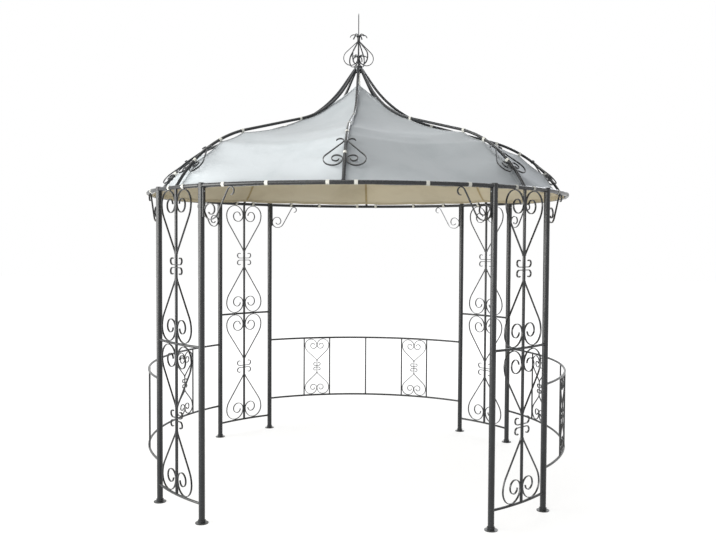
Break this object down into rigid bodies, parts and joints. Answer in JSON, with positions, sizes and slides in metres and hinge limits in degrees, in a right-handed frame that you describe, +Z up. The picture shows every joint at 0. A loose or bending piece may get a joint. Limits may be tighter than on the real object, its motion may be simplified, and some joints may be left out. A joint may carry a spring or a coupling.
{
  "type": "round garden pergola",
  "caption": "Round steel garden pergola with scrollwork pillars, low railings, an ogee rib roof with a finial, and a pale fabric canopy hung under the ribs; open at the front.",
  "frame": {"origin": "middle of the ring of posts, at the underside of the foot plates", "axes": "+Z up, -Y out through the open entrance, +X to the right of someone outside who faces the entrance"},
  "size_m": [3.025, 3.025, 3.37],
  "materials": {
    "coated_steel": "satin anthracite powder coat on welded steel tube and flat bar",
    "canopy_cloth": "off-white woven polyester with a thin coating"
  },
  "bodies": {
    "root": {"post_1": "coated_steel", "post_2": "coated_steel", "post_3": "coated_steel", "post_4": "coated_steel", "post_5": "coated_steel", "post_6": "coated_steel", "post_7": "coated_steel", "post_8": "coated_steel", "pillar_grille_front_right": "coated_steel", "pillar_grille_back_right": "coated_steel", "pillar_grille_back_left": "coated_steel", "pillar_grille_front_left": "coated_steel", "ring_arc_front": "coated_steel", "ring_arc_right": "coated_steel", "ring_arc_back": "coated_steel", "ring_arc_left": "coated_steel", "brackets_front": "coated_steel", "brackets_right": "coated_steel", "brackets_back": "coated_steel", "brackets_left": "coated_steel", "railing_right": "coated_steel", "railing_back": "coated_steel", "railing_left": "coated_steel", "rib_1": "coated_steel", "rib_2": "coated_steel", "rib_3": "coated_steel", "rib_4": "coated_steel", "rib_5": "coated_steel", "rib_6": "coated_steel", "rib_7": "coated_steel", "rib_8": "coated_steel", "rib_scroll_1": "coated_steel", "rib_scroll_2": "coated_steel", "rib_scroll_3": "coated_steel", "rib_scroll_4": "coated_steel", "rib_scroll_5": "coated_steel", "rib_scroll_6": "coated_steel", "rib_scroll_7": "coated_steel", "rib_scroll_8": "coated_steel", "crown_hub": "coated_steel", "finial": "coated_steel", "canopy": "canopy_cloth"}
  },
  "joints": []
}
